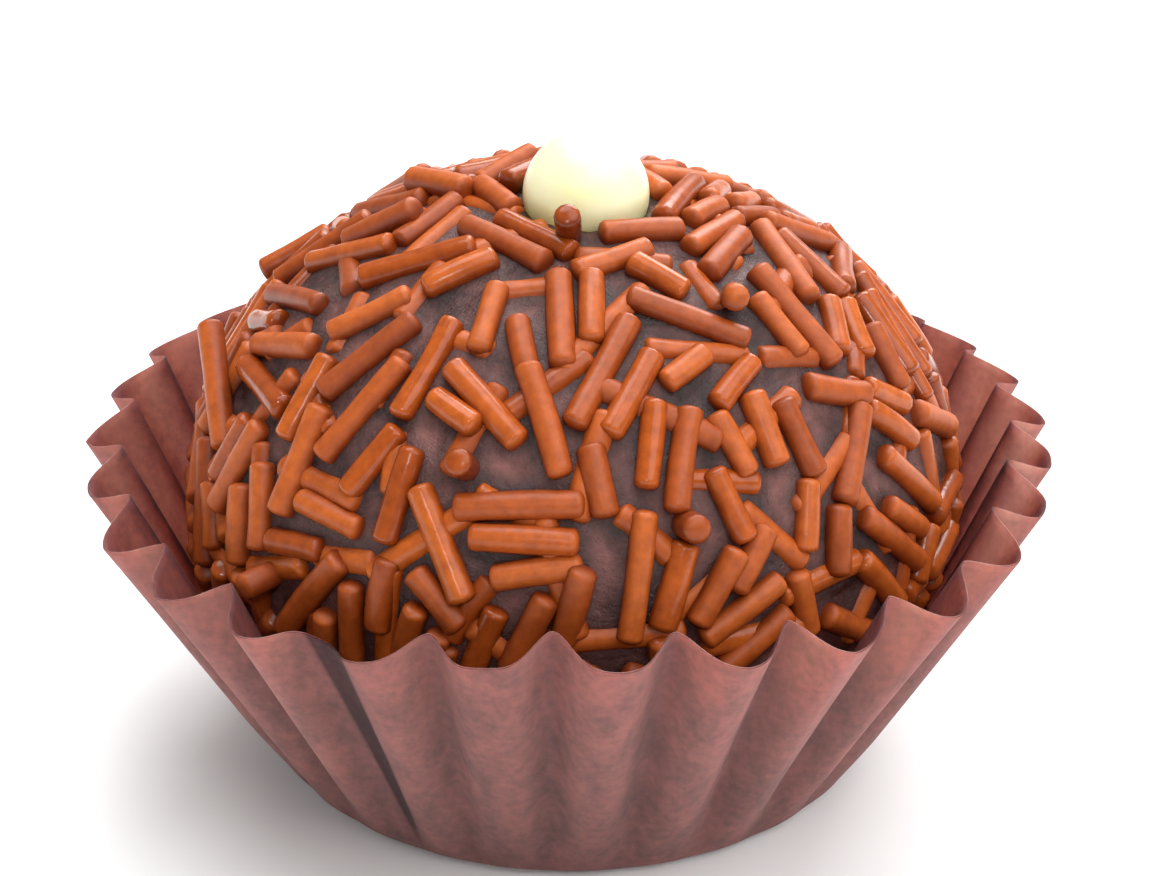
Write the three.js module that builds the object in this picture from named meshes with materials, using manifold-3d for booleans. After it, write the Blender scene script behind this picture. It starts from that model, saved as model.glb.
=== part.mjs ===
// A brigadeiro in its paper case: a ball of chocolate fudge rolled in chocolate sprinkles,
// with one sugar pearl pressed into the top, standing in a pleated paper case.
//
// Millimetres, +Z up, +X to the right and -Y to the front. The origin is the centre of the
// case's flat base. Directions round the upright axis are longitudes, which start at the
// front and grow to the right. Directions down from the top of the ball are polar angles.

import * as THREE from "three";
import { mergeVertices } from "three/addons/utils/BufferGeometryUtils.js";
import Module from "manifold-3d";

const wasm = await Module();
wasm.setup();

// ---------------------------------------------------------------- driving dimensions

const PAPER_CASE = {
  pleats: 28,
  baseRadius: 12.05,
  rimRadius: 18.2, // midway between a ridge and a valley of the pleats
  rimHeight: 12.85, // midway too
  paper: 0.25,
  baseBend: 1.2, // radius of the bend between the base and the wall
  firstRidge: -10.3, // longitude of one ridge, in degrees
  pleatFade: 0.3, // share of the wall that the pleats take to reach their full depth
  shallowest: 0.88, // depth of the shallowest pleat, where the mean is 1
  deepest: 1.12,
  mostLean: 0.25, // how far a pleat may lean off its place, in radians of a pleat's wave
  seed: 5,
};

// Pleats pressed unlike the rest: the place, in pleats round from the first ridge, and the
// width, in pleats. Deeper is a share of the pleat's depth. Higher and round are millimetres
// that the rim moves up and round the case.
const ODD_PLEATS = [
  { place: 23.0, width: 0.3, deeper: -0.3, higher: 0, round: 0 },
  { place: 26.0, width: 0.3, deeper: 0, higher: 0.2, round: -0.1 },
  { place: 26.5, width: 0.3, deeper: -0.5, higher: -0.5, round: -0.6 },
  { place: 27.0, width: 0.3, deeper: -0.2, higher: 0, round: 0 },
  { place: 0.0, width: 0.3, deeper: -0.45, higher: 0, round: 0 },
  { place: 0.5, width: 0.3, deeper: 0, higher: 0.25, round: 0 },
  { place: 1.0, width: 0.3, deeper: -0.35, higher: 0, round: 0 },
  { place: 3.0, width: 0.3, deeper: 0, higher: 0.2, round: -0.45 },
  { place: 3.5, width: 1.2, deeper: 0, higher: -0.6, round: 0.35 },
  { place: 3.5, width: 0.3, deeper: 0, higher: 0, round: 0.2 },
  { place: 4.5, width: 0.3, deeper: -0.25, higher: -0.15, round: 0.2 },
  { place: 5.5, width: 0.3, deeper: 0.35, higher: 0, round: 0 },
  { place: 6.0, width: 0.4, deeper: -0.35, higher: 0, round: 0 },
  { place: 6.5, width: 0.3, deeper: 0.7, higher: 0, round: 0 },
  { place: 7.0, width: 0.4, deeper: -0.35, higher: 0, round: 0 },
  { place: 7.5, width: 0.3, deeper: 0.35, higher: 0, round: 0 },
];

// Waves round the case. Each is as high as its size, and its turn says where it starts.
const PLEAT_CROWDING = [ // how far the pleats lean round the case at the rim, in radians
  { waves: 1, turn: 90, size: 0.034 },
  { waves: 2, turn: 0, size: 0.05 },
  { waves: 3, turn: 180, size: 0.024 },
];
const RIM_SWING = [ // how much higher than its mean the rim stands, in millimetres
  { waves: 2, turn: 0, size: 0.15 },
  { waves: 3, turn: 90, size: 0.3 },
];

const BALL = {
  centre: new THREE.Vector3(0.1, -1.0, 10.9),
  radius: 14.3, // of the bare fudge, level with its centre
  rise: 12.05, // from the centre to the top
  drop: 10.9, // from the centre to where the bottom would be if nothing pressed it flat
  flatHeight: 0.6, // of the flat that it sits on
};

// Lumps left by rolling the ball by hand: waves round it that also change on the way down.
const BALL_LUMPS = [
  { waves: 2, turn: 40, size: 0.14, wavesDown: 2 },
  { waves: 3, turn: -63, size: 0.11, wavesDown: 3 },
  { waves: 5, turn: 220, size: 0.08, wavesDown: 2 },
];

const PEARL = {
  radius: 2.35,
  centre: new THREE.Vector3(0.6, -2.0, 23.25),
};

const SPRINKLE = {
  diameter: 1.04,
  sunk: 0.3, // share of the diameter that lies in the fudge
  shortest: 2.3,
  longest: 5.0,
  spacing: 1.06, // least distance between two axes, in diameters
  root: 0.8, // how far its solid reaches down from its axis
};

// The sprinkles at the front lie as they were laid. Each row is a longitude, a polar angle
// and a heading from straight down the ball, in degrees, then a length in millimetres.
const LAID = [
  [36, 17, 70, 3.2], [15, 22, -75, 3.2], [-19, 16, 65, 3.8], [-31, 19, 75, 4.4],
  [27, 27, 35, 2.4], [65, 23, 85, 4.0], [56, 27, -80, 3.4], [-55, 28, -40, 4.6],
  [-3, 33, 5, 4.2], [5, 31, -5, 3.2], [29, 35, 50, 4.6], [6, 42, -30, 4.8],
  [11, 46, -35, 3.6], [-21, 34, 5, 3.0], [-52, 39, -35, 3.4], [-37, 27, -35, 2.9],
  [-44, 45, -25, 4.3], [-30, 44, -5, 4.1], [-39, 53, -20, 4.5], [-16, 48, 50, 4.0],
  [-5, 50, 20, 4.2], [-8, 63, -85, 4.5], [-7, 68, -90, 3.8], [-19, 70, 30, 4.3],
  [13, 54, -15, 3.2], [18, 57, -20, 3.8], [4, 59, 10, 2.6], [9, 74, -10, 4.6],
  [24, 65, 15, 2.8], [23, 43, -65, 2.2], [32, 47, -60, 2.6], [50, 64, -45, 4.0],
  [34, 55, 0, 2.8], [27, 56, 15, 2.5], [14, 76, -20, 3.2], [20, 77, -35, 3.0],
  [24, 82, -65, 3.6], [50, 41, 0, 2.8], [57, 41, -5, 4.6], [-27, 64, -5, 3.5],
  [-47, 64, 0, 4.2], [-61, 71, -15, 4.0], [-38, 70, 85, 3.0], [-80, 10, -75, 3.2],
  [-78, 22, 30, 3.2], [-83, 35, -40, 4.6], [-86, 29, -30, 3.8], [-108, 30, -25, 4.4],
  [-80, 46, -65, 4.6], [-68, 51, -65, 4.0], [-65, 58, -90, 4.4], [-52, 55, 5, 3.4],
  [-11, 38, 20, 2.4], [-33, 60, -25, 3.0], [-21, 50, 65, 2.3], [-5, 73, -80, 3.2],
  [-65, 82, 25, 2.6], [-56, 79, 15, 3.0], [-52, 74, 20, 3.2], [-43, 77, -80, 2.7],
  [-39, 84, -35, 4.4], [-32, 87, 0, 3.4], [-27, 80, -5, 2.8], [-19, 79, 45, 2.6],
  [-6, 83, -25, 3.2], [-12, 85, -20, 2.8], [0, 78, -15, 3.0], [74, 34, -45, 4.3],
  [81, 38, -25, 3.6], [65, 46, -50, 2.6], [71, 49, -45, 2.6], [53, 54, 60, 3.0],
  [65, 60, 50, 2.6], [78, 71, 55, 4.0], [62, 64, 40, 3.0], [62, 74, 40, 4.2],
  [54, 81, 45, 4.4], [58, 79, 50, 3.0], [74, 84, 85, 4.0], [50, 87, 40, 3.6],
  [70, 92, -85, 3.4], [34, 84, 10, 2.6], [26, 74, -40, 2.6], [37, 70, -20, 2.6],
  [42, 76, -15, 2.6], [40, 58, 5, 3.0], [43, 92, 55, 3.2], [26, 88, -60, 3.2],
];

// A few are stuck in at a tilt. The tilt in degrees comes last in the row.
const STANDING = [
  [-2, 17, 0, 2.4, 60], [42, 35, -60, 2.5, 40], [-76, 64, -128, 5.2, 18],
  [-17, 58, 0, 1.7, 90], [17, 67, 0, 1.7, 80], [-47, 84, 0, 1.9, 80],
];

// The rest fell as the ball was rolled in them.
const FALLEN = {
  sprinkles: 500,
  seed: 20,
  lowest: 112, // polar angle, in degrees, that the coating reaches down to inside the case
  stray: 0.3, // share of them that lie at any heading, where the rest point down the ball
  scatter: 1.6, // how far they fall from an even spread, in millimetres each way
  room: 0.65, // one that falls nearer than this share of their spacing to a laid one rolls off
  crossing: 0.55, // two axes nearer than this share of their spacing lie one on the other
  slidingRounds: 100,
  pilingRounds: 100,
  ease: 0.9, // share of each push that a round makes good
  sag: 0.15, // share of its height over the fudge that a piled sprinkle loses in a round
};

const TOUCHING_GAP = 0.3; // between two pieces that rest against each other
const PEARL_GAP = 0.03; // from the pearl to the sprinkles, before its socket trims them
const SHOWN_ABOVE = 11.4; // height where the case starts to hide the ball
const MOST_FUSED = 240; // sprinkles in the solid: the placed ones, then the longest

const CASE_COLOUR = 0x7b5653;
const SPRINKLE_COLOUR = 0xa8562a;
const PEARL_COLOUR = 0xf4e8c0;

// ------------------------------------------------------------------------ small tools

const { clamp, degToRad } = THREE.MathUtils;

/** A stream of numbers from 0 to 1 that is the same on every run. */
function makeDraws(seed) {
  let state = seed;
  return () => {
    state = (state * 1664525 + 1013904223) % 4294967296;
    return state / 4294967296;
  };
}

/** Height of one wave at a longitude. */
function waveAt({ waves, turn, size }, longitude) {
  return size * Math.sin(waves * longitude + degToRad(turn));
}

/** A geometry as a manifold-3d solid. */
function toSolid(geometry) {
  const bare = geometry.clone();
  bare.deleteAttribute("normal");
  bare.deleteAttribute("uv");
  const merged = mergeVertices(bare, 1e-4);
  return new wasm.Manifold(new wasm.Mesh({
    numProp: 3,
    vertProperties: new Float32Array(merged.attributes.position.array),
    triVerts: new Uint32Array(merged.index.array),
  }));
}

/** A manifold-3d solid as a geometry. */
function toGeometry(solid) {
  const mesh = solid.getMesh();
  const geometry = new THREE.BufferGeometry();
  geometry.setAttribute("position", new THREE.BufferAttribute(mesh.vertProperties, 3));
  geometry.setIndex(new THREE.BufferAttribute(mesh.triVerts, 1));
  return geometry;
}

function piece(name, geometry, colour, roughness) {
  geometry.computeVertexNormals();
  const material = new THREE.MeshStandardMaterial({ color: colour, roughness, metalness: 0 });
  const mesh = new THREE.Mesh(geometry, material);
  mesh.name = name;
  return mesh;
}

// -------------------------------------------------------------------------- the case

const wallRun = PAPER_CASE.rimRadius - PAPER_CASE.baseRadius;
const wallLength = Math.hypot(wallRun, PAPER_CASE.rimHeight);
const wallOut = PAPER_CASE.rimHeight / wallLength; // the wall's outward normal, level part
const wallDown = wallRun / wallLength; // and its part downwards

/** Radius of the wall's middle surface at a share of the way up it, 0 at the base. */
function wallRadius(share) {
  return PAPER_CASE.baseRadius + wallRun * share;
}

/**
 * Half the depth of the pleats at a share of the way up the wall. The case is pressed from
 * a flat disc, whose rings are longer than the wall is round, and the pleats take up just
 * the spare length: a wave of length l and half depth a is 1 + (pi a / l)^2 times as long.
 */
function pleatDepth(share) {
  if (share <= 0) return 0;
  const radius = wallRadius(share);
  const waveLength = (2 * Math.PI * radius) / PAPER_CASE.pleats;
  const spare = (PAPER_CASE.baseRadius + wallLength * share) / radius - 1;
  const rise = clamp(share / PAPER_CASE.pleatFade, 0, 1);
  return (waveLength / Math.PI) * Math.sqrt(spare) * rise * (2 - rise);
}

/** A value for each pleat, blended between them all the way round the case. */
function roundTheCase(values) {
  return (pleat) => {
    const before = Math.floor(pleat) % values.length;
    const after = (before + 1) % values.length;
    return THREE.MathUtils.lerp(values[before], values[after], pleat - Math.floor(pleat));
  };
}

/** The depth and the lean of each pleat, drawn in turn. */
function drawPleats() {
  const { pleats, shallowest, deepest, mostLean, seed } = PAPER_CASE;
  const draw = makeDraws(seed);
  const depths = Array.from({ length: pleats }, () => shallowest + (deepest - shallowest) * draw());
  const leans = Array.from({ length: pleats }, () => mostLean * (2 * draw() - 1));
  return { depthAt: roundTheCase(depths), leanAt: roundTheCase(leans) };
}

/** The sum of one value of the odd pleats, each of which fades out round the case. */
function oddPleats(pleat, value) {
  const { pleats } = PAPER_CASE;
  return ODD_PLEATS.reduce((sum, odd) => {
    const away = THREE.MathUtils.euclideanModulo(pleat - odd.place + pleats / 2, pleats) - pleats / 2;
    return sum + odd[value] * Math.exp(-((away / odd.width) ** 2));
  }, 0);
}

/** Outline of the paper from the axis out along its outside and back along its inside. */
function caseProfile() {
  const { baseRadius, baseBend, paper, rimRadius, rimHeight } = PAPER_CASE;
  const wallTurn = Math.atan2(rimHeight, wallRun); // from level up to the wall
  const bendStart = baseRadius - baseBend * Math.tan(wallTurn / 2);
  const bendSteps = 2;
  const wallSteps = 3;
  const side = (inset) => {
    const points = [];
    for (let i = 0; i <= bendSteps; i++) {
      const turn = (wallTurn * i) / bendSteps;
      const reach = baseBend - inset;
      points.push(new THREE.Vector2(
        bendStart + reach * Math.sin(turn),
        baseBend - reach * Math.cos(turn),
      ));
    }
    const wallStart = points[points.length - 1];
    const rim = new THREE.Vector2(rimRadius - inset * wallOut, rimHeight + inset * wallDown);
    for (let i = 1; i <= wallSteps; i++) {
      points.push(wallStart.clone().lerp(rim, i / wallSteps));
    }
    return points;
  };
  return [
    new THREE.Vector2(0, 0),
    ...side(0),
    ...side(paper).reverse(),
    new THREE.Vector2(0, paper),
  ];
}

function makeCase() {
  const segmentsPerPleat = 4;
  const { depthAt, leanAt } = drawPleats();
  const geometry = new THREE.LatheGeometry(caseProfile(), PAPER_CASE.pleats * segmentsPerPleat);
  geometry.rotateX(Math.PI / 2);
  const place = geometry.attributes.position;
  const point = new THREE.Vector3();
  for (let i = 0; i < place.count; i++) {
    point.fromBufferAttribute(place, i);
    const radius = Math.hypot(point.x, point.y);
    if (radius < 1e-6) continue;
    const turn = Math.atan2(point.x, -point.y);
    const pleat = THREE.MathUtils.euclideanModulo(turn / (2 * Math.PI), 1) * PAPER_CASE.pleats;
    const share = clamp(point.z / PAPER_CASE.rimHeight, 0, 1);
    const wave = Math.cos(pleat * 2 * Math.PI + leanAt(pleat));
    const lift = pleatDepth(share) * (depthAt(pleat) + oddPleats(pleat, "deeper")) * wave;
    const longitude = turn + degToRad(PAPER_CASE.firstRidge);
    const crowding = PLEAT_CROWDING.reduce((sum, wave) => sum + waveAt(wave, longitude), 0)
      + oddPleats(pleat, "round") / PAPER_CASE.rimRadius;
    const swing = RIM_SWING.reduce((sum, wave) => sum + waveAt(wave, longitude), 0)
      + oddPleats(pleat, "higher");
    const around = longitude + crowding * share;
    const out = radius + lift * wallOut;
    const height = point.z - lift * wallDown + swing * share * share;
    place.setXYZ(i, out * Math.sin(around), -out * Math.cos(around), height);
  }
  return piece("paper_case", geometry, CASE_COLOUR, 0.85);
}

/** Radius of the free space inside the case at a height, clear of its pleats. */
function roomRadius(height) {
  if (height > PAPER_CASE.rimHeight + TOUCHING_GAP) return Infinity;
  const share = height / PAPER_CASE.rimHeight;
  return wallRadius(share) - (pleatDepth(share) + PAPER_CASE.paper) * wallOut;
}

// -------------------------------------------------------------------------- the ball

/** Height of the ball's lumps over the smooth ball. */
function lumpHeight(longitude, polar) {
  return BALL_LUMPS.reduce((sum, lump) => (
    sum + waveAt(lump, longitude) * Math.cos(lump.wavesDown * polar) * Math.sin(polar)
  ), 0);
}

/** A place on the bare fudge, with the directions out of it, down the ball and round it. */
function onBall(longitude, polar) {
  const height = polar < Math.PI / 2 ? BALL.rise : BALL.drop;
  const [sinLon, cosLon] = [Math.sin(longitude), Math.cos(longitude)];
  const [sinPol, cosPol] = [Math.sin(polar), Math.cos(polar)];
  const out = new THREE.Vector3(
    (sinPol * sinLon) / BALL.radius,
    (-sinPol * cosLon) / BALL.radius,
    cosPol / height,
  ).normalize();
  const down = new THREE.Vector3(
    BALL.radius * cosPol * sinLon,
    -BALL.radius * cosPol * cosLon,
    -height * sinPol,
  ).normalize();
  const round = new THREE.Vector3(cosLon, sinLon, 0);
  const place = new THREE.Vector3(
    BALL.radius * sinPol * sinLon,
    -BALL.radius * sinPol * cosLon,
    height * cosPol,
  ).add(BALL.centre).addScaledVector(out, lumpHeight(longitude, polar));
  return { place, out, down, round };
}

function makeFudge() {
  const geometry = new THREE.SphereGeometry(1, 24, 14).rotateX(Math.PI / 2);
  const place = geometry.attributes.position;
  const direction = new THREE.Vector3();
  for (let i = 0; i < place.count; i++) {
    direction.fromBufferAttribute(place, i);
    const polar = Math.acos(clamp(direction.z, -1, 1));
    const longitude = Math.atan2(direction.x, -direction.y);
    const spot = onBall(longitude, polar).place;
    place.setXYZ(i, spot.x, spot.y, Math.max(spot.z, BALL.flatHeight));
  }
  return toSolid(geometry);
}

function makeSocket() {
  const socket = new THREE.IcosahedronGeometry(PEARL.radius + TOUCHING_GAP, 3);
  return toSolid(socket.translate(...PEARL.centre));
}

function makePearl() {
  const geometry = new THREE.IcosahedronGeometry(PEARL.radius, 3);
  return piece("pearl", geometry.translate(...PEARL.centre), PEARL_COLOUR, 0.35);
}

// --------------------------------------------------------------------- the sprinkles

/** Height of a point over the fudge, and the direction out of the fudge there. */
function overBall(point) {
  const fromCentre = new THREE.Vector3().subVectors(point, BALL.centre);
  const height = fromCentre.z > 0 ? BALL.rise : BALL.drop;
  const axes = new THREE.Vector3(BALL.radius, BALL.radius, height);
  const scaled = fromCentre.clone().divide(axes);
  const slope = scaled.clone().divide(axes);
  const size = scaled.length();
  const polar = Math.acos(clamp(scaled.z / size, -1, 1));
  const longitude = Math.atan2(scaled.x, -scaled.y);
  const smooth = ((size - 1) * size) / slope.length();
  return { height: smooth - lumpHeight(longitude, polar), out: slope.normalize() };
}

/** A sprinkle is a rod, kept as the two ends of its axis, half a diameter inside its tips. */
function makeRod(longitude, polar, heading, length, tilt = 0) {
  const { place, out, down, round } = onBall(longitude, polar);
  const level = down.multiplyScalar(Math.cos(heading)).addScaledVector(round, Math.sin(heading));
  const along = level.multiplyScalar(Math.cos(tilt)).addScaledVector(out, Math.sin(tilt));
  const half = (length - SPRINKLE.diameter) / 2;
  const lift = SPRINKLE.diameter * (0.5 - SPRINKLE.sunk) + half * Math.sin(tilt);
  const middle = place.addScaledVector(out, lift);
  return {
    half,
    middle,
    along,
    ends: [-1, 1].map((side) => middle.clone().addScaledVector(along, side * half)),
    shifts: [new THREE.Vector3(), new THREE.Vector3()],
    touches: 0,
    stays: false, // a standing one, which nothing moves
    onlyRises: false, // a laid one, which only rises onto what it crosses
    placed: false,
  };
}

/** Rods from rows in degrees and millimetres, which lie flat if they have no tilt. */
function placeSprinkles(rows, manner) {
  return rows.map(([longitude, polar, heading, length, tilt = 0]) => ({
    ...makeRod(degToRad(longitude), degToRad(polar), degToRad(heading), length, degToRad(tilt)),
    placed: true,
    ...manner,
  }));
}

/** Sprinkles as they first fall on the ball: an even spiral, each one off its place. */
function dropSprinkles() {
  const draw = makeDraws(FALLEN.seed);
  const goldenTurn = Math.PI * (3 - Math.sqrt(5));
  const span = 1 - Math.cos(degToRad(FALLEN.lowest));
  const scatter = FALLEN.scatter / BALL.radius;
  const rods = [];
  for (let i = 0; i < FALLEN.sprinkles; i++) {
    const evenPolar = Math.acos(1 - (span * (i + 0.5)) / FALLEN.sprinkles);
    const polar = Math.abs(evenPolar + scatter * (2 * draw() - 1));
    const widen = Math.max(Math.sin(polar), 0.2); // keeps the shift round the ball in bounds
    const longitude = i * goldenTurn + (scatter * (2 * draw() - 1)) / widen;
    const lean = draw() + draw() + draw() - 1.5;
    const stray = draw() / FALLEN.stray;
    const heading = stray < 1 ? Math.PI * stray : lean;
    const longer = draw();
    const length = SPRINKLE.shortest + (SPRINKLE.longest - SPRINKLE.shortest) * longer;
    rods.push(makeRod(longitude, polar, heading, length));
  }
  return rods;
}

/** The points where the axes of two rods come closest, each also as a distance along. */
function closestPoints(a, b) {
  const between = new THREE.Vector3().subVectors(a.middle, b.middle);
  const dot = a.along.dot(b.along);
  const fromA = a.along.dot(between);
  const fromB = b.along.dot(between);
  const spread = 1 - dot * dot;
  let onA = spread > 1e-6 ? clamp((dot * fromB - fromA) / spread, -a.half, a.half) : 0;
  const onB = clamp(dot * onA + fromB, -b.half, b.half);
  onA = clamp(dot * onB - fromA, -a.half, a.half);
  const pointA = a.middle.clone().addScaledVector(a.along, onA);
  const pointB = b.middle.clone().addScaledVector(b.along, onB);
  return { onA, onB, pointA, pointB };
}

const leastSpacing = SPRINKLE.diameter * SPRINKLE.spacing;
const pearlRoom = PEARL.radius + SPRINKLE.diameter / 2 + PEARL_GAP;

/** From the pearl's centre to the nearest point of a rod's axis. */
function awayFromPearl(rod) {
  const toPearl = new THREE.Vector3().subVectors(PEARL.centre, rod.middle);
  const nearest = clamp(toPearl.dot(rod.along), -rod.half, rod.half);
  return toPearl.addScaledVector(rod.along, -nearest).negate();
}

/** Whether a rod that falls would lie on one that is placed already. */
function hasNoRoom(fallen, placed) {
  const { pointA, pointB } = closestPoints(fallen, placed);
  return pointA.distanceTo(pointB) < leastSpacing * FALLEN.room;
}

/** Adds a push at a distance along a rod's axis to the shifts of its two ends. */
function pushRod(rod, onAxis, push) {
  const share = (onAxis + rod.half) / (2 * rod.half);
  const whole = share * share + (1 - share) * (1 - share);
  rod.shifts[0].addScaledVector(push, (1 - share) / whole);
  rod.shifts[1].addScaledVector(push, share / whole);
  rod.touches += 1;
}

/** Pushes two rods apart if they touch: over the fudge, or in any direction once piling. */
function pushApart(a, b, piling) {
  if (a.middle.distanceTo(b.middle) > a.half + b.half + leastSpacing) return;
  const { onA, onB, pointA, pointB } = closestPoints(a, b);
  const apart = new THREE.Vector3().subVectors(pointA, pointB);
  const distance = apart.length();
  if (distance >= leastSpacing) return;
  const { out } = overBall(pointA.add(pointB).multiplyScalar(0.5));
  if (!piling) {
    apart.addScaledVector(out, -apart.dot(out));
    if (apart.length() < 1e-3) apart.crossVectors(a.along, out);
  } else if (distance < leastSpacing * FALLEN.crossing) {
    apart.copy(out).negate(); // the later one goes up
  }
  apart.setLength((leastSpacing - distance) / 2);
  pushRod(a, onA, apart);
  pushRod(b, onB, apart.negate());
}

/** Moves a rod's end to its rest height over the fudge, clear of the pearl and the case. */
function settleEnd(end, restHeight, piling) {
  const { height, out } = overBall(end);
  const sink = piling && height > restHeight ? FALLEN.sag : 1;
  end.addScaledVector(out, (restHeight - height) * sink);
  const fromPearl = new THREE.Vector3().subVectors(end, PEARL.centre);
  if (fromPearl.length() < pearlRoom) end.copy(PEARL.centre).add(fromPearl.setLength(pearlRoom));
  const clearance = SPRINKLE.diameter / 2 + TOUCHING_GAP;
  const over = Math.hypot(end.x, end.y) - (roomRadius(end.z) - clearance);
  if (over > 0) end.addScaledVector(out, -over / Math.hypot(out.x, out.y));
}

/** Takes a rod's middle and direction from its ends, and sets its length right again. */
function straighten(rod) {
  rod.middle.addVectors(...rod.ends).multiplyScalar(0.5);
  rod.along.subVectors(rod.ends[1], rod.ends[0]).normalize();
  const away = awayFromPearl(rod);
  const lack = pearlRoom - away.length();
  if (lack > 0) rod.middle.add(away.setLength(lack));
  rod.ends.forEach((end, i) => {
    end.copy(rod.middle).addScaledVector(rod.along, i === 0 ? -rod.half : rod.half);
  });
}

/** Moves a rod by the pushes it got in a round. */
function moveRod(rod, piling) {
  const ease = FALLEN.ease / Math.max(1, rod.touches / 2);
  const sag = (rod.half * rod.half) / (4 * BALL.radius); // it is straight and the ball round
  const restHeight = SPRINKLE.diameter * (0.5 - SPRINKLE.sunk) + sag;
  rod.ends.forEach((end, i) => {
    const start = end.clone();
    const { out } = overBall(start);
    end.addScaledVector(rod.shifts[i], ease);
    settleEnd(end, restHeight, piling);
    const rise = new THREE.Vector3().subVectors(end, start).dot(out);
    if (rod.onlyRises) end.copy(start).addScaledVector(out, rise);
  });
  straighten(rod);
}

/** Lets the sprinkles slide apart over the fudge, then pile up where they are crowded. */
function settle(rods) {
  const rounds = FALLEN.slidingRounds + FALLEN.pilingRounds;
  for (let round = 0; round < rounds; round++) {
    const piling = round >= FALLEN.slidingRounds;
    rods.forEach((a, i) => {
      for (let j = i + 1; j < rods.length; j++) pushApart(a, rods[j], piling);
    });
    for (const rod of rods) {
      if (!rod.stays) moveRod(rod, piling);
      rod.shifts.forEach((shift) => shift.set(0, 0, 0));
      rod.touches = 0;
    }
  }
  return rods;
}

/** The whole coating: what stands, what was laid, and what fell between them. */
function coatBall() {
  const placed = [
    ...placeSprinkles(STANDING, { stays: true }),
    ...placeSprinkles(LAID, { onlyRises: true }),
  ];
  const fallen = dropSprinkles().filter((rod) => (
    awayFromPearl(rod).length() > PEARL.radius && !placed.some((other) => hasNoRoom(rod, other))));
  return settle([...placed, ...fallen]);
}

/** The sprinkles that the solid holds: those that show and lie in the fudge. */
function fusedSprinkles() {
  const lying = coatBall().filter((rod) => (
    rod.placed || (rod.middle.z > SHOWN_ABOVE
      && rod.ends.every((end) => overBall(end).height < SPRINKLE.diameter * 0.5))));
  lying.sort((a, b) => b.placed - a.placed || b.half - a.half);
  return lying.slice(0, MOST_FUSED);
}

/** One sprinkle as a solid: half a hexagonal rod over a root that reaches into the fudge. */
function makeSprinkle({ middle, along, half }) {
  const radius = SPRINKLE.diameter / 2;
  const section = new THREE.Shape([
    new THREE.Vector2(-radius, -SPRINKLE.root),
    new THREE.Vector2(radius, -SPRINKLE.root),
    new THREE.Vector2(radius, 0),
    new THREE.Vector2(radius / 2, radius * Math.sin(Math.PI / 3)),
    new THREE.Vector2(-radius / 2, radius * Math.sin(Math.PI / 3)),
    new THREE.Vector2(-radius, 0),
  ]);
  const length = 2 * half + SPRINKLE.diameter;
  const rod = new THREE.ExtrudeGeometry(section, { depth: length, bevelEnabled: false });
  const across = new THREE.Vector3().crossVectors(overBall(middle).out, along).normalize();
  const up = new THREE.Vector3().crossVectors(along, across);
  rod.translate(0, 0, -length / 2);
  rod.applyMatrix4(new THREE.Matrix4().makeBasis(across, up, along).setPosition(middle));
  return toSolid(rod);
}

/** The largest body of a solid, without its sealed hollows and loose scraps. */
function largestBody(solid) {
  return solid.decompose().reduce((a, b) => (a.volume() > b.volume() ? a : b));
}

function makeBrigadeiro() {
  const sprinkles = fusedSprinkles().map(makeSprinkle);
  const coated = wasm.Manifold.union([makeFudge(), ...sprinkles]);
  const plainer = coated.subtract(makeSocket()).asOriginal().simplify(0.08);
  return piece("brigadeiro", toGeometry(largestBody(plainer)), SPRINKLE_COLOUR, 0.5);
}

// ------------------------------------------------------------------------- the object

const brigadeiro = new THREE.Group();
brigadeiro.add(makeCase(), makeBrigadeiro(), makePearl());

export default brigadeiro;
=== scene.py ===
"""A brigadeiro in its pleated paper case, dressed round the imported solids.

Lengths are millimetres, and MM turns them into Blender's metres. Directions round the upright
axis are longitudes, which start at the front (-Y) and grow to the right (+X). Directions down
from the top of the ball are polar angles. Colours are linear red, green and blue.
"""

import math

import bpy
import numpy as np
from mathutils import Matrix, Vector


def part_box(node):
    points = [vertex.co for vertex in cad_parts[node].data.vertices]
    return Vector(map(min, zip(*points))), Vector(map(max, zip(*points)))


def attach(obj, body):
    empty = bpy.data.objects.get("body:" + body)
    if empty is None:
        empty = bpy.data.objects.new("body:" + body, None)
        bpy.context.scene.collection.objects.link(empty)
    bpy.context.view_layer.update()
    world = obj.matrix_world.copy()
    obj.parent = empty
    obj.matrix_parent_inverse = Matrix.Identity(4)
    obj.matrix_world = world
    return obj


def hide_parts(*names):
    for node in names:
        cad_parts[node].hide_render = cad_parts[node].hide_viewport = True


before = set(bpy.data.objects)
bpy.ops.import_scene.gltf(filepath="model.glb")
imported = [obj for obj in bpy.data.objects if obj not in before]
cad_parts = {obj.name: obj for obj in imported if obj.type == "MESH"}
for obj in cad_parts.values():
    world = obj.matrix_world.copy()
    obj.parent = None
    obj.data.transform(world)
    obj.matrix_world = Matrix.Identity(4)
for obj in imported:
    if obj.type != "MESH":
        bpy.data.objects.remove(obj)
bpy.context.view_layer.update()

MM = 0.001

# ------------------------------------------------------------------ driving dimensions

PEARL_LOW, PEARL_HIGH = (np.array(corner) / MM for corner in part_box("pearl"))
PEARL_CENTRE = (PEARL_LOW + PEARL_HIGH) / 2
PEARL_RADIUS = (PEARL_HIGH - PEARL_LOW)[0] / 2

CASE_PLEATS = 28
CASE_BASE_RADIUS = 12.05
CASE_RIM_RADIUS = 18.2  # midway between a ridge and a valley of the pleats
CASE_RIM_HEIGHT = 12.85  # midway too
CASE_BEND = 1.2  # radius of the bend between the base and the wall
CASE_FIRST_RIDGE = math.radians(-10.3)
CASE_SOLID_PAPER = 0.25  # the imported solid's thickness
CASE_BASE_FADE = 0.3  # share of the wall that the pleats take to reach their full depth
PAPER = 0.06

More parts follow.
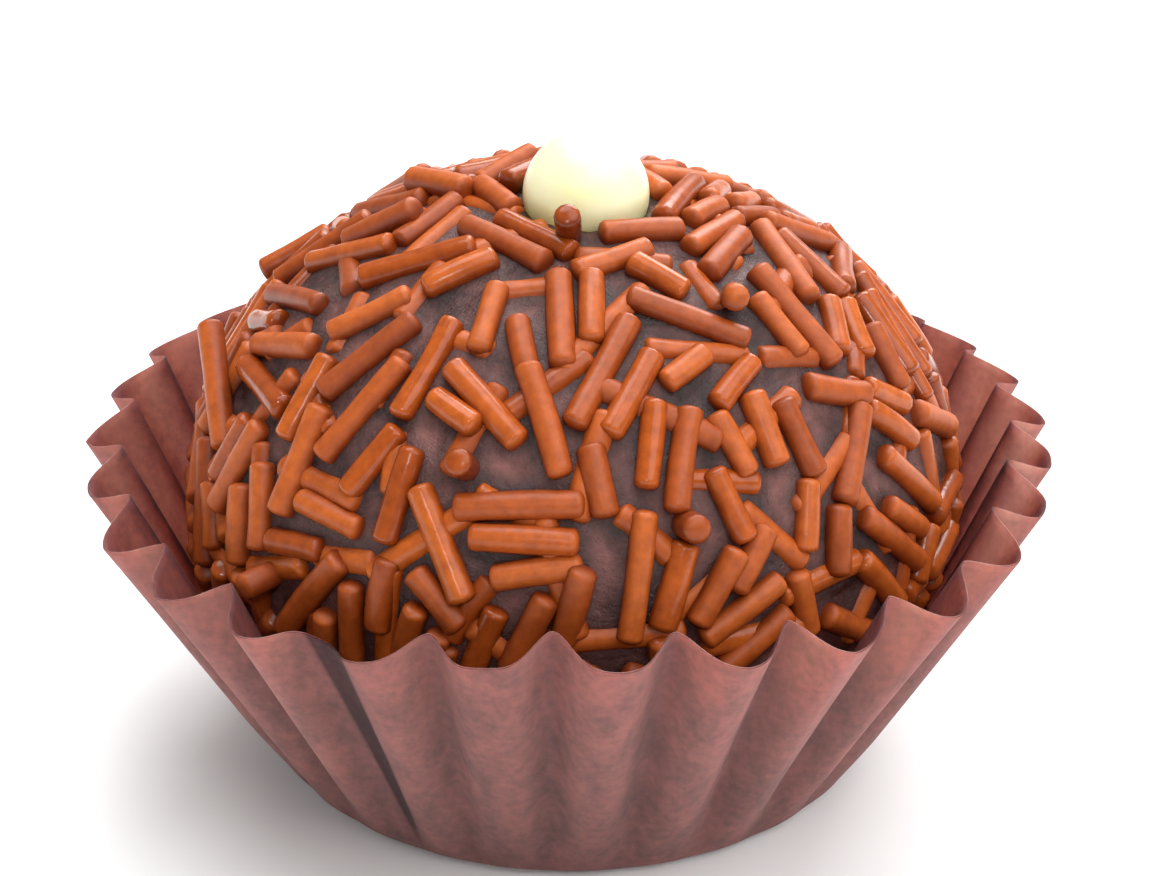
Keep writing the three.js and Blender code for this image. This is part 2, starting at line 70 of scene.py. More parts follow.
# The wall between the base and the rim, and the direction square to it, outwards and down.
WALL_RUN = CASE_RIM_RADIUS - CASE_BASE_RADIUS
WALL_LENGTH = math.hypot(WALL_RUN, CASE_RIM_HEIGHT)
WALL_OUT = CASE_RIM_HEIGHT / WALL_LENGTH
WALL_DOWN = WALL_RUN / WALL_LENGTH

CASE_COLUMNS_A_PLEAT = 32
CASE_FLOOR_RINGS = (0.4, 0.8)  # shares of the way out to the bend
CASE_BEND_RINGS = 8
CASE_WALL_RINGS = 35

PLEATS_SEED = 5
PLEAT_DEPTHS = (0.88, 1.12)  # shares of the depth that the paper's spare length gives
PLEAT_LEANS = (-0.25, 0.25)  # radians of the wave, which has one turn to a pleat
PLEAT_SHARPEST = 0.7  # share of a plain zigzag in the sharpest pleat
RIDGE_BREADTH = 0.35  # at 0 the valleys would be as broad as the ridges

# Pleats pressed unlike the rest. Each row is a place in pleats round from the first ridge and
# a width in pleats, then how much deeper the pleat is, as a share of its depth, and in
# millimetres how much higher the rim stands there and how far it is pushed round.
CASE_ODD_PLEATS = [
    (23.0, 0.3, -0.3, 0.0, 0.0), (26.0, 0.3, 0.0, 0.2, -0.1), (26.5, 0.3, -0.5, -0.5, -0.6),
    (27.0, 0.3, -0.2, 0.0, 0.0), (0.0, 0.3, -0.45, 0.0, 0.0), (0.5, 0.3, 0.0, 0.25, 0.0),
    (1.0, 0.3, -0.35, 0.0, 0.0), (3.0, 0.3, 0.0, 0.2, -0.45), (3.5, 1.2, 0.0, -0.6, 0.35),
    (3.5, 0.3, 0.0, 0.0, 0.2), (4.5, 0.3, -0.25, -0.15, 0.2), (5.5, 0.3, 0.35, 0.0, 0.0),
    (6.0, 0.4, -0.35, 0.0, 0.0), (6.5, 0.3, 0.7, 0.0, 0.0), (7.0, 0.4, -0.35, 0.0, 0.0),
    (7.5, 0.3, 0.35, 0.0, 0.0),
]
DEEPER, HIGHER, PUSHED = range(3)  # the columns after the place and the width

# A tight crease in one pleat.
CREASE_PLACE = 26.72  # in pleats round from the first ridge
CREASE_WIDTH = 0.15  # in pleats
CREASE_DEPTH = 0.8
CREASE_DROP = 0.5  # how much lower the rim stands in it

# The paper's painted shade, from 0 deep in a fold to 1 on a ridge, where the paper keeps its own
# colour.
SHADE_MIDWAY = 0.6
SHADE_OF_PLEAT = 0.4  # what a ridge adds and a valley takes
SHADE_OF_CREASE = 1.6  # what the crease takes
SHADE_OF_BASE = 0.5
LOW_INSIDE_SHADE = 0.45  # painted shade that darkens the inside, low down
LOW_INSIDE_SHADE_FADE = 2.2  # the painted shade fades out towards the rim, over the top share of the wall that is one over this

# Waves round the case: how many, where they start in degrees, and their size.
PLEAT_CROWDING = [(1, 90, 0.034), (2, 0, 0.05), (3, 180, 0.024)]  # radians, at the rim
RIM_SWING = [(2, 0, 0.15), (3, 90, 0.3)]  # millimetres

BALL_CENTRE = np.array([0.1, -1.0, 10.9])
BALL_RADIUS = 14.3
BALL_RISE = 12.05  # from its centre to its top
BALL_DROP = 10.9  # from its centre to its bottom, before that is pressed flat
BALL_FLAT_HEIGHT = 0.6
# Its lumps are waves round it, as above, and the last number is that of half waves down it.
BALL_LUMPS = [(2, 40, 0.14, 2), (3, -63, 0.11, 3), (5, 220, 0.08, 2)]

FUDGE_RINGS, FUDGE_COLUMNS = 160, 300
FUDGE_LIP = 0.14  # how far the fudge is pushed up against a sprinkle
FUDGE_LIP_WIDTH = 0.28
FUDGE_SHADE_WIDTH = 0.5  # of the painted shade round a sprinkle
FUDGE_REACH = 2.0  # a sprinkle changes no fudge further than this past its ends
SOCKET_GAP = 0.02  # between the pearl and the hollow that it sits in

PEARL_RINGS, PEARL_COLUMNS = 60, 96
PEARL_UNEVEN = 0.008  # share of its radius
PEARL_WAVES = ((2.1, 1.3, 1.7), (1.2, -2.4, 0.8))  # two waves across it, radians to a radius

SPRINKLE_DIAMETER = 1.04
SPRINKLE_SUNK = 0.3  # share of the diameter that is in the fudge
SPRINKLE_LENGTHS = (2.3, 5.0)
SPRINKLE_SPACING = 1.06 * SPRINKLE_DIAMETER  # between the axes of two that touch
TOUCHING_GAP = 0.3  # from the sprinkles to the case, as in the solid
PEARL_GAP = 0.03  # the sprinkles round the pearl all but touch it
PEARL_ROOM = PEARL_RADIUS + SPRINKLE_DIAMETER / 2 + PEARL_GAP

SPRINKLES_SEED = 7
SPRINKLE_SIDES = 12
SPRINKLE_BODY_RINGS = 6
SPRINKLE_CAP = 0.24 * SPRINKLE_DIAMETER  # length of a rounded end
SPRINKLE_CAP_RINGS = np.array([0.98, 0.86, 0.62, 0.3])  # shares of it, nearest the tip first
SPRINKLE_BLUNTNESS = 2.5  # where 2 would be a round end
SPRINKLE_THICKNESSES = (0.88, 1.02)  # shares of the diameter
SPRINKLE_SWELL = 0.03  # share of the thickness that comes and goes along one
SPRINKLE_SWELL_TURN = 2.1  # radians of that wave to a millimetre
SPRINKLE_SWELL_STARTS = 6.3  # radians of it that its start is drawn from
SPRINKLE_BOW = 0.08  # how far the middle of the most bent one is off its axis

# Sprinkles laid one by one, as in the solid: longitude, polar angle and heading from
# straight down the ball in degrees, then length.
LAID = [
    (36, 17, 70, 3.2), (15, 22, -75, 3.2), (-19, 16, 65, 3.8), (-31, 19, 75, 4.4),
    (27, 27, 35, 2.4), (65, 23, 85, 4.0), (56, 27, -80, 3.4), (-55, 28, -40, 4.6),
    (-3, 33, 5, 4.2), (5, 31, -5, 3.2), (29, 35, 50, 4.6), (6, 42, -30, 4.8),
    (11, 46, -35, 3.6), (-21, 34, 5, 3.0), (-52, 39, -35, 3.4), (-37, 27, -35, 2.9),
    (-44, 45, -25, 4.3), (-30, 44, -5, 4.1), (-39, 53, -20, 4.5), (-16, 48, 50, 4.0),
    (-5, 50, 20, 4.2), (-8, 63, -85, 4.5), (-7, 68, -90, 3.8), (-19, 70, 30, 4.3),
    (13, 54, -15, 3.2), (18, 57, -20, 3.8), (4, 59, 10, 2.6), (9, 74, -10, 4.6),
    (24, 65, 15, 2.8), (23, 43, -65, 2.2), (32, 47, -60, 2.6), (50, 64, -45, 4.0),
    (34, 55, 0, 2.8), (27, 56, 15, 2.5), (14, 76, -20, 3.2), (20, 77, -35, 3.0),
    (24, 82, -65, 3.6), (50, 41, 0, 2.8), (57, 41, -5, 4.6), (-27, 64, -5, 3.5),
    (-47, 64, 0, 4.2), (-61, 71, -15, 4.0), (-38, 70, 85, 3.0), (-80, 10, -75, 3.2),
    (-78, 22, 30, 3.2), (-83, 35, -40, 4.6), (-86, 29, -30, 3.8), (-108, 30, -25, 4.4),
    (-80, 46, -65, 4.6), (-68, 51, -65, 4.0), (-65, 58, -90, 4.4), (-52, 55, 5, 3.4),
    (-11, 38, 20, 2.4), (-33, 60, -25, 3.0), (-21, 50, 65, 2.3), (-5, 73, -80, 3.2),
    (-65, 82, 25, 2.6), (-56, 79, 15, 3.0), (-52, 74, 20, 3.2), (-43, 77, -80, 2.7),
    (-39, 84, -35, 4.4), (-32, 87, 0, 3.4), (-27, 80, -5, 2.8), (-19, 79, 45, 2.6),
    (-6, 83, -25, 3.2), (-12, 85, -20, 2.8), (0, 78, -15, 3.0), (74, 34, -45, 4.3),
    (81, 38, -25, 3.6), (65, 46, -50, 2.6), (71, 49, -45, 2.6), (53, 54, 60, 3.0),
    (65, 60, 50, 2.6), (78, 71, 55, 4.0), (62, 64, 40, 3.0), (62, 74, 40, 4.2),
    (54, 81, 45, 4.4), (58, 79, 50, 3.0), (74, 84, 85, 4.0), (50, 87, 40, 3.6),
    (70, 92, -85, 3.4), (34, 84, 10, 2.6), (26, 74, -40, 2.6), (37, 70, -20, 2.6),
    (42, 76, -15, 2.6), (40, 58, 5, 3.0), (43, 92, 55, 3.2), (26, 88, -60, 3.2),
]

# Sprinkles stuck in at a tilt, as in the solid. The tilt in degrees comes last in the row.
STANDING = [
    (-2, 17, 0, 2.4, 60), (42, 35, -60, 2.5, 40), (-76, 64, -128, 5.2, 18), (-17, 58, 0, 1.7, 90),
    (17, 67, 0, 1.7, 80), (-47, 84, 0, 1.9, 80),
]

# The rest fall by a seeded rule, as in the solid.
GOLDEN_TURN = math.pi * (3 - math.sqrt(5))
FALLEN_SPRINKLES = 500
FALLEN_SEED = 20
FALLEN_LOWEST = math.radians(112)  # polar angle down to which the ball is coated
FALLEN_STRAY = 0.3  # share that point any way, where the others point more or less down
FALLEN_DRAWS = 3  # draws added up for the heading of one that points down
FALLEN_SCATTER = 1.6  # how far one falls from its even place, at most, each way
FALLEN_TOP = 0.2  # least sine that the scatter round the ball is divided by
ROOM_SHARE = 0.65  # share of the spacing that one needs from those listed
CROSSING = 0.55 * SPRINKLE_SPACING  # where axes are closer, one climbs over the other
PRESSED_SPRINKLES = 170
PRESSED_SEED = 11
PRESSED_SUNK = 0.62  # share of the diameter that is in the fudge
SLIDING_ROUNDS = 100
PILING_ROUNDS = 100
EASE = 0.9  # share of a push that is made in a round
SAG = 0.15  # share of its height over its rest that a piled end sinks by in a round
HIGHEST = 0.62  # a sprinkle whose middle is higher over the fudge, in diameters, rolls off

# ---------------------------------------------------------- camera, lights and colours

CAMERA_PLACE = Vector((0.17, -85.45, 54.05)) * MM
CAMERA_AIM = Vector((0.54, 0.0, 12.28)) * MM
CAMERA_LENS = 74.3
CAMERA_NEAR = 5 * MM

FLOOR_SIDE = 40000.0
SKY_STRENGTH = 0.27

# Even lights: a name, the direction it comes from, its spread in degrees and its strength.
LIGHTS = [
    ("key", (0.5, -0.3, 0.8), 60, 2.15), ("back", (0.3, 0.8, 0.7), 40, 2.8),
    ("top", (-0.15, 0.2, 0.95), 40, 1.8), ("glint", (-0.05, -0.8, 0.6), 3, 0.5),
]

PAPER_OUTSIDE = ((0.34, 0.14, 0.126), (0.165, 0.092, 0.088))  # pink, and its dusky mottling
# The same paper inside, coloured darker and redder as painted shade, and its mottling.
PAPER_INSIDE_SHADED = ((0.165, 0.058, 0.057), (0.054, 0.028, 0.031))
SPRINKLE_TONES = ((0.34, 0.063, 0.0075), (0.46, 0.092, 0.012), (0.55, 0.122, 0.018))
FUDGE_DARK = (0.055, 0.02, 0.019)
FUDGE_PALE = (0.33, 0.128, 0.11)
SUGAR_CREAM = (0.99, 0.94, 0.54)
SUGAR_PALE = (1.0, 0.96, 0.62)
WHITE = (1, 1, 1)

# -------------------------------------------------------- numbers that the sums need

DRAW_FACTOR, DRAW_STEP, DRAW_RANGE = 1664525, 1013904223, 2**32
FAR = 1e3  # past everything on the part
STUCK = 1e-3  # axes that cross closer than this slide apart sideways
PARALLEL = 1e-6  # least squared sine of the angle between two axes

# The Mix node's sockets for colours.
MIX_VALUE, MIX_FIRST, MIX_SECOND, MIX_RESULT = 0, 6, 7, 2

# ------------------------------------------------------------------------- small tools


def make_draws(seed):
    """A stream of numbers from 0 to 1 that is the same on every run."""
    state = seed
    while True:
        state = (state * DRAW_FACTOR + DRAW_STEP) % DRAW_RANGE
        yield state / DRAW_RANGE


def between(ends, share):
    """The number at a share of the way from the first end to the second."""
    first, second = ends
    return first + (second - first) * share


def wave_at(waves, turn, size, longitude):
    """A wave round the upright axis, which starts at turn degrees."""
    return size * np.sin(waves * longitude + math.radians(turn))


def dots(a, b):
    return (a * b).sum(-1)


def sizes(vectors):
    return np.linalg.norm(vectors, axis=-1)


def units(vectors):
    return vectors / sizes(vectors)[..., None]


def grid_faces(rings, columns, first=0):
    """Quads between rings of points, each ring closed on itself."""
    ring, column = np.meshgrid(np.arange(rings - 1), np.arange(columns), indexing="ij")
    beside = (column + 1) % columns
    corners = [ring * columns + column, ring * columns + beside,
               (ring + 1) * columns + beside, (ring + 1) * columns + column]
    return (first + np.stack(corners, -1)).reshape(-1, 4)


def fan_faces(tip, ring_start, columns, flip=False):
    """Triangles from a tip to the ring that starts at ring_start."""
    here = ring_start + np.arange(columns)
    beside = ring_start + (np.arange(columns) + 1) % columns
    pair = (beside, here) if flip else (here, beside)
    return np.stack([np.full(columns, tip), *pair], -1)


def globe_grid(rings, columns):
    """Polar angles and turns of a globe's points: ring by ring, and then both poles."""
    polar = np.linspace(0, math.pi, rings + 2)[1:-1]
    turn = np.arange(columns) * 2 * math.pi / columns
    return (np.append(np.repeat(polar, columns), [0, math.pi]),
            np.append(np.tile(turn, rings), [0, 0]))


def globe_faces(rings, columns):
    """Quads and triangles between a globe's points, which face outwards."""
    top, bottom = rings * columns, rings * columns + 1
    return [grid_faces(rings, columns)[:, ::-1], fan_faces(top, 0, columns),
            fan_faces(bottom, (rings - 1) * columns, columns, flip=True)]


def keep_attribute(piece, name, values):
    """Keeps a number at each of the piece's points, for its material to read."""
    attribute = piece.data.attributes.new(name, "FLOAT", "POINT")
    attribute.data.foreach_set("value", values)


def make_piece(name, points, face_groups, materials):
    """A smooth mesh that rides with the part. Each face group has its own material."""
    mesh = bpy.data.meshes.new(name)
    faces = [face for group in face_groups for block in group for face in block.tolist()]
    mesh.from_pydata((points * MM).tolist(), [], faces)
    counts = [sum(len(block) for block in group) for group in face_groups]
    mesh.polygons.foreach_set("material_index", np.repeat(np.arange(len(counts)), counts))
    mesh.polygons.foreach_set("use_smooth", np.ones(len(mesh.polygons), bool))
    for material in materials:
        mesh.materials.append(material)
    mesh.update()
    piece = bpy.data.objects.new(name, mesh)
    bpy.context.scene.collection.objects.link(piece)
    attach(piece, "root")
    return piece


# --------------------------------------------------------------------------- materials


def new_material(name, **sockets):
    """A Principled material with these values on its sockets, its node tree and its shader."""
    material = bpy.data.materials.new(name)
    material.use_nodes = True
    shader = material.node_tree.nodes["Principled BSDF"]
    for socket, value in sockets.items():
        shader.inputs[socket.replace("_", " ")].default_value = value
    return material, material.node_tree, shader


def add_noise(tree, grain, detail=4.0, roughness=0.55, paces=(1, 1, 1)):
    """Noise with lumps about grain millimetres across, and longer along an axis with a pace
    under 1. Returns its value from 0 to 1."""
    place = tree.nodes.new("ShaderNodeTexCoord")
    mapping = tree.nodes.new("ShaderNodeMapping")
    mapping.inputs["Scale"].default_value = [pace / (grain * MM) for pace in paces]
    noise = tree.nodes.new("ShaderNodeTexNoise")
    noise.inputs["Scale"].default_value = 1.0
    noise.inputs["Detail"].default_value = detail
    noise.inputs["Roughness"].default_value = roughness
    tree.links.new(place.outputs["Object"], mapping.inputs["Vector"])
    tree.links.new(mapping.outputs["Vector"], noise.inputs["Vector"])
    return noise.outputs["Fac"]


def read_attribute(tree, name):
    """A number that keep_attribute left on the piece."""
    attribute = tree.nodes.new("ShaderNodeAttribute")
    attribute.attribute_name = name
    return attribute.outputs["Fac"]


def add_ramp(tree, value, *stops):
    """A colour ramp over a value. Each stop is a position and a colour."""
    ramp = tree.nodes.new("ShaderNodeValToRGB")
    while len(ramp.color_ramp.elements) < len(stops):
        ramp.color_ramp.elements.new(0.5)
    for element, (position, colour) in zip(ramp.color_ramp.elements, stops):
        element.position = position
        element.color = (*colour, 1)
    tree.links.new(value, ramp.inputs["Fac"])
    return ramp.outputs["Color"]


def add_mix(tree, value, first, second, blend="MIX"):
    """Two colours mixed by a value."""
    mix = tree.nodes.new("ShaderNodeMix")
    mix.data_type = "RGBA"
    mix.blend_type = blend
    for number, source in ((MIX_VALUE, value), (MIX_FIRST, first), (MIX_SECOND, second)):
        if isinstance(source, bpy.types.NodeSocket):
            tree.links.new(source, mix.inputs[number])
        else:
            mix.inputs[number].default_value = source
    return mix.outputs[MIX_RESULT]


def tint(tree, colour, shade):
    """A colour darkened by a shade."""
    return add_mix(tree, 1.0, colour, shade, "MULTIPLY")


def grey(level):
    """The colour, or the number on a ramp, with this level throughout."""
    return (level, level, level)


def add_bump(tree, shader, height, depth, distance):
    """Relief that shows in the light alone, distance millimetres deep at full strength."""
    bump = tree.nodes.new("ShaderNodeBump")
    bump.inputs["Strength"].default_value = depth
    bump.inputs["Distance"].default_value = distance * MM
    tree.links.new(height, bump.inputs["Height"])
    tree.links.new(bump.outputs["Normal"], shader.inputs["Normal"])


def paper_material(name, pink, dusk):
    """Thin matt greaseproof paper, mottled by its fibres, with painted shade that darkens it in
    the folds and leaves it lighter on the ridges."""
    material, tree, shader = new_material(
        name, Roughness=0.8, Specular_IOR_Level=0.2, Subsurface_Weight=0.7,
        Subsurface_Radius=(1.0, 0.6, 0.5), Subsurface_Scale=0.35 * MM)
    tall_noise = add_noise(tree, grain=1.1, roughness=0.65, paces=(1, 1, 0.3))
    blotches = add_ramp(tree, tall_noise, (0.36, dusk), (0.64, pink))
    fine_noise = add_noise(tree, grain=0.35, detail=3.0, roughness=0.6)
    fibres = add_ramp(tree, fine_noise, (0.32, dusk), (0.68, pink))
    mottled = add_mix(tree, 0.45, blotches, fibres)
    # Painted shade: darker deep in the folds, in the crease and low down inside.
    shade = add_ramp(tree, read_attribute(tree, "fold"),
                     (0.0, (0.2, 0.23, 0.26)), (0.2, (0.66, 0.68, 0.7)), (0.75, grey(0.84)),
                     (1.0, WHITE))
    tree.links.new(tint(tree, mottled, shade), shader.inputs["Base Color"])
    relief = add_noise(tree, grain=0.35, detail=3.0)
    add_bump(tree, shader, relief, depth=0.2, distance=0.03)
    return material


def sprinkle_material():
    """Red brown chocolate, each sprinkle in a tone and with a gloss of its own, and darkened by
    painted shade down its flanks."""
    material, tree, shader = new_material("sprinkle_chocolate", Specular_IOR_Level=0.35)
    stops = zip((0.0, 0.5, 1.0), SPRINKLE_TONES)
    own = add_ramp(tree, read_attribute(tree, "tone"), *stops)
    mottle = add_ramp(tree, add_noise(tree, grain=0.5, roughness=0.6),
                      (0.3, (0.7, 0.64, 0.6)), (0.65, WHITE))
    # Painted shade: darker where the surface faces into the ball.
    shade = add_ramp(tree, read_attribute(tree, "upward"),
                     (0.0, (0.5, 0.4, 0.4)), (0.55, (0.86, 0.82, 0.82)), (0.9, WHITE))
    tree.links.new(tint(tree, tint(tree, own, mottle), shade), shader.inputs["Base Color"])
    roughness = add_ramp(tree, read_attribute(tree, "gloss"),
                         (0.0, grey(0.5)), (0.6, grey(0.36)), (1.0, grey(0.16)))
    tree.links.new(roughness, shader.inputs["Roughness"])
    relief = add_noise(tree, grain=0.4, detail=3.0)
    add_bump(tree, shader, relief, depth=0.35, distance=0.04)
    return material


def fudge_material():
    """Dark chocolate fudge, dull where it is dry, shining where it is greasy, and darkened by
    painted shade in the creases round the sprinkles."""
    material, tree, shader = new_material("fudge", Specular_IOR_Level=0.5)
    colour = add_ramp(tree, add_noise(tree, grain=1.8), (0.36, FUDGE_DARK), (0.66, FUDGE_PALE))
    # Painted shade: darker close round each sprinkle.
    crease = add_ramp(tree, read_attribute(tree, "near"), (0.0, WHITE), (1.0, (0.34, 0.35, 0.36)))
    tree.links.new(tint(tree, colour, crease), shader.inputs["Base Color"])
    grease = add_ramp(tree, add_noise(tree, grain=1.2, detail=5.0, roughness=0.6),
                      (0.42, grey(0.6)), (0.62, grey(0.22)))
    tree.links.new(grease, shader.inputs["Roughness"])
    relief = add_noise(tree, grain=0.45, detail=6.0, roughness=0.7)
    add_bump(tree, shader, relief, depth=0.9, distance=0.16)
    return material


def sugar_material():
    """Cream sugar shell, smooth and softly glossy."""
    material, tree, shader = new_material(
        "sugar_shell", Roughness=0.3, Specular_IOR_Level=0.4, Subsurface_Weight=0.7,
        Subsurface_Radius=(1.0, 0.8, 0.4), Subsurface_Scale=3 * MM)
    colour = add_ramp(tree, add_noise(tree, grain=1.2, detail=2.0),
                      (0.3, SUGAR_CREAM), (0.7, SUGAR_PALE))
    tree.links.new(colour, shader.inputs["Base Color"])
    relief = add_noise(tree, grain=0.4, detail=2.0)
    add_bump(tree, shader, relief, depth=0.15, distance=0.02)
    return material


def floor_material():
    """Matt white, all but even."""
    material, tree, shader = new_material("floor_white", Roughness=0.9, Specular_IOR_Level=0.1)
    colour = add_ramp(tree, add_noise(tree, grain=40.0, detail=2.0),
                      (0.3, grey(0.9)), (0.7, grey(0.92)))
    tree.links.new(colour, shader.inputs["Base Color"])
    return material


# ---------------------------------------------------------------------------- the case


def pleat_depth(share):
    """Half the depth of the pleats at a share of the way up the wall, which takes up the
    spare length of the disc that the case is pressed from."""
    radius = CASE_BASE_RADIUS + WALL_RUN * share
    spare = np.maximum((CASE_BASE_RADIUS + WALL_LENGTH * share) / radius - 1, 0)
    rise = np.clip(share / CASE_BASE_FADE, 0, 1)
    return 2 * radius / CASE_PLEATS * np.sqrt(spare) * rise * (2 - rise)


def room_radius(height):
    """Radius of the free space inside the case at a height, clear of its pleats."""
    share = height / CASE_RIM_HEIGHT
    wall = CASE_BASE_RADIUS + WALL_RUN * share
    room = wall - (pleat_depth(share) + CASE_SOLID_PAPER) * WALL_OUT
    return np.where(height > CASE_RIM_HEIGHT + TOUCHING_GAP, FAR, room)


def case_side(inset):
    """Radius and height of the points up one side of the paper, from the base to the rim."""
    wall_turn = math.atan2(CASE_RIM_HEIGHT, WALL_RUN)
    bend_start = CASE_BASE_RADIUS - CASE_BEND * math.tan(wall_turn / 2)
    floor = [(bend_start * share, inset) for share in CASE_FLOOR_RINGS]
    turns = np.linspace(0, wall_turn, CASE_BEND_RINGS)
    bend = [(bend_start + (CASE_BEND - inset) * math.sin(turn),
             CASE_BEND - (CASE_BEND - inset) * math.cos(turn)) for turn in turns]
    rim = (CASE_RIM_RADIUS - inset * WALL_OUT, CASE_RIM_HEIGHT + inset * WALL_DOWN)
    wall = np.linspace(bend[-1], rim, CASE_WALL_RINGS + 1)[1:]
    return np.concatenate([floor, bend, wall])


def round_the_case(values, pleat):
    """A value for each pleat, blended between them all the way round."""
    return np.interp(pleat, np.arange(CASE_PLEATS + 1), np.append(values, values[0]))


def odd_pleats(pleat, column):
    """The sum of one column of the odd pleats, each of which fades out round the case."""
    total = 0
    for place, width, *values in CASE_ODD_PLEATS:
        away = (pleat - place + CASE_PLEATS / 2) % CASE_PLEATS - CASE_PLEATS / 2
        total = total + values[column] * np.exp(-((away / width) ** 2))
    return total


def pleat_wave(pleat):
    """The pleats round the case, 1 on a ridge and -1 in a valley. Ridges are broad and
    valleys narrow, and each pleat has a depth, a lean and a sharpness of its own."""
    draw = make_draws(PLEATS_SEED)
    depth = round_the_case([between(PLEAT_DEPTHS, next(draw)) for _ in range(CASE_PLEATS)], pleat)
    lean = round_the_case([between(PLEAT_LEANS, next(draw)) for _ in range(CASE_PLEATS)], pleat)
    sharp = round_the_case([PLEAT_SHARPEST * next(draw) ** 2 for _ in range(CASE_PLEATS)], pleat)
    phase = pleat * 2 * math.pi + lean
    phase -= RIDGE_BREADTH * np.sin(phase)
    zigzag = 2 / math.pi * np.arcsin(np.cos(phase))
    return (depth + odd_pleats(pleat, DEEPER)) * (np.cos(phase) * (1 - sharp) + zigzag * sharp)


def crease_at(pleat):
    """The tight crease round the case, 1 at its middle and 0 away from it."""
    return np.exp(-(((pleat - CREASE_PLACE) / CREASE_WIDTH) ** 2))


def fold_paper(profile, share, pleat):
    """Points of the paper, whose profile goes in and out with the pleats on its way round."""
    radius, level = profile[:, :1], profile[:, 1:]
    crease = crease_at(pleat)
    lift = pleat_depth(share) * pleat_wave(pleat)
    longitude = CASE_FIRST_RIDGE + pleat * 2 * math.pi / CASE_PLEATS
    crowding = sum(wave_at(*wave, longitude) for wave in PLEAT_CROWDING)
    crowding = crowding + odd_pleats(pleat, PUSHED) / CASE_RIM_RADIUS
    swing = sum(wave_at(*wave, longitude) for wave in RIM_SWING) + odd_pleats(pleat, HIGHER)
    around = longitude + crowding * share
    out = radius + lift * WALL_OUT - CREASE_DEPTH * crease * share
    height = level - lift * WALL_DOWN + (swing - CREASE_DROP * crease) * share**2
    return np.stack([out * np.sin(around), -out * np.cos(around), height], -1).reshape(-1, 3)


def make_case():
    """The pleated case, whose paper has an outside and an inside coloured darker as painted
    shade, and darker still low down.
    """
    outside = case_side(0.0)
    profile = np.concatenate([outside, case_side(PAPER)[::-1]])
    rings, columns = len(profile), CASE_PLEATS * CASE_COLUMNS_A_PLEAT
    pleat = np.arange(columns)[None, :] / CASE_COLUMNS_A_PLEAT
    share = np.clip(profile[:, 1:] / CASE_RIM_HEIGHT, 0, 1)
    points = np.append(fold_paper(profile, share, pleat), [[0, 0, 0], [0, 0, PAPER]], axis=0)
    quads = grid_faces(rings, columns)
    split = (len(outside) - 1) * columns  # the rim's edge takes the inside's darker colour, which is painted shade
    below = fan_faces(len(points) - 2, 0, columns, flip=True)
    above = fan_faces(len(points) - 1, (rings - 1) * columns, columns)
    outer = paper_material("paper_outside", *PAPER_OUTSIDE)
    inner = paper_material("paper_inside_shaded", *PAPER_INSIDE_SHADED)
    case = make_piece("case_paper", points, [[quads[:split], below], [quads[split:], above]],
                      [outer, inner])
    # Painted shade for the paper: darker in the valleys and the crease, and low down inside.
    folds = SHADE_OF_PLEAT * pleat_wave(pleat) - SHADE_OF_CREASE * crease_at(pleat)
    shade = SHADE_MIDWAY + folds * np.sqrt(share)
    shade[len(outside):] -= LOW_INSIDE_SHADE * np.clip(LOW_INSIDE_SHADE_FADE * (1 - share[len(outside):]), 0, 1)
    keep_attribute(case, "fold", np.append(shade, [SHADE_OF_BASE] * 2))
    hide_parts("paper_case")


# ---------------------------------------------------------------------------- the ball


def lump_height(longitude, polar):
    """How far the lumps raise the fudge over its even form."""
    return sum(wave_at(waves, turn, size, longitude) * np.cos(down * polar) * np.sin(polar)
               for waves, turn, size, down in BALL_LUMPS)


def on_ball(longitude, polar):
    """Places on the bare fudge, with the directions out of it, down the ball and round it."""
    height = np.where(polar < math.pi / 2, BALL_RISE, BALL_DROP)[..., None]
    zero = np.zeros_like(longitude)
    level = np.stack([np.sin(longitude), -np.cos(longitude), zero], -1)
    upright = np.array([0.0, 0.0, 1.0])
    sine, cosine = np.sin(polar)[..., None], np.cos(polar)[..., None]
    out = units(sine * level / BALL_RADIUS + cosine * upright / height)
    down = units(BALL_RADIUS * cosine * level - height * sine * upright)
    around = np.stack([np.cos(longitude), np.sin(longitude), zero], -1)
    place = BALL_CENTRE + BALL_RADIUS * sine * level + height * cosine * upright
    return place + out * lump_height(longitude, polar)[..., None], out, down, around


def over_ball(points):
    """Heights of points over the fudge, and the directions out of the fudge there."""
    from_centre = points - BALL_CENTRE
    height = np.where(from_centre[..., 2] > 0, BALL_RISE, BALL_DROP)
    axes = np.stack([np.full_like(height, BALL_RADIUS)] * 2 + [height], -1)
    scaled = from_centre / axes
    slope = scaled / axes
    size = sizes(scaled)
    polar = np.arccos(np.clip(scaled[..., 2] / size, -1, 1))
    longitude = np.arctan2(scaled[..., 0], -scaled[..., 1])
    smooth = (size - 1) * size / sizes(slope)
    return smooth - lump_height(longitude, polar), units(slope)


# ----------------------------------------------------------------------- the sprinkles
# A set of rods is three arrays: the middles, the directions along and the half lengths of
# their axes, which end half a diameter inside the tips.


def make_rods(rows):
    """Rods from rows of longitude, polar angle, heading, length and tilt."""
    longitude, polar, heading, length, tilt = np.array(rows).T
    place, out, down, around = on_ball(longitude, polar)
    level = down * np.cos(heading)[:, None] + around * np.sin(heading)[:, None]
    along = level * np.cos(tilt)[:, None] + out * np.sin(tilt)[:, None]
    half = (length - SPRINKLE_DIAMETER) / 2
    lift = SPRINKLE_DIAMETER * (0.5 - SPRINKLE_SUNK) + half * np.sin(tilt)
    return place + out * lift[:, None], along, half


def lay_sprinkles(rows):
    """Rods from rows in degrees and millimetres, which lie flat if they have no tilt."""
    return make_rods([(math.radians(longitude), math.radians(polar), math.radians(heading),
                       length, math.radians(sum(tilt)))
                      for longitude, polar, heading, length, *tilt in rows])


def even_polar(number, count):
    """The polar angle of one of count places that are spread evenly down the ball."""
    span = 1 - math.cos(FALLEN_LOWEST)
    return math.acos(1 - span * (number + 0.5) / count)


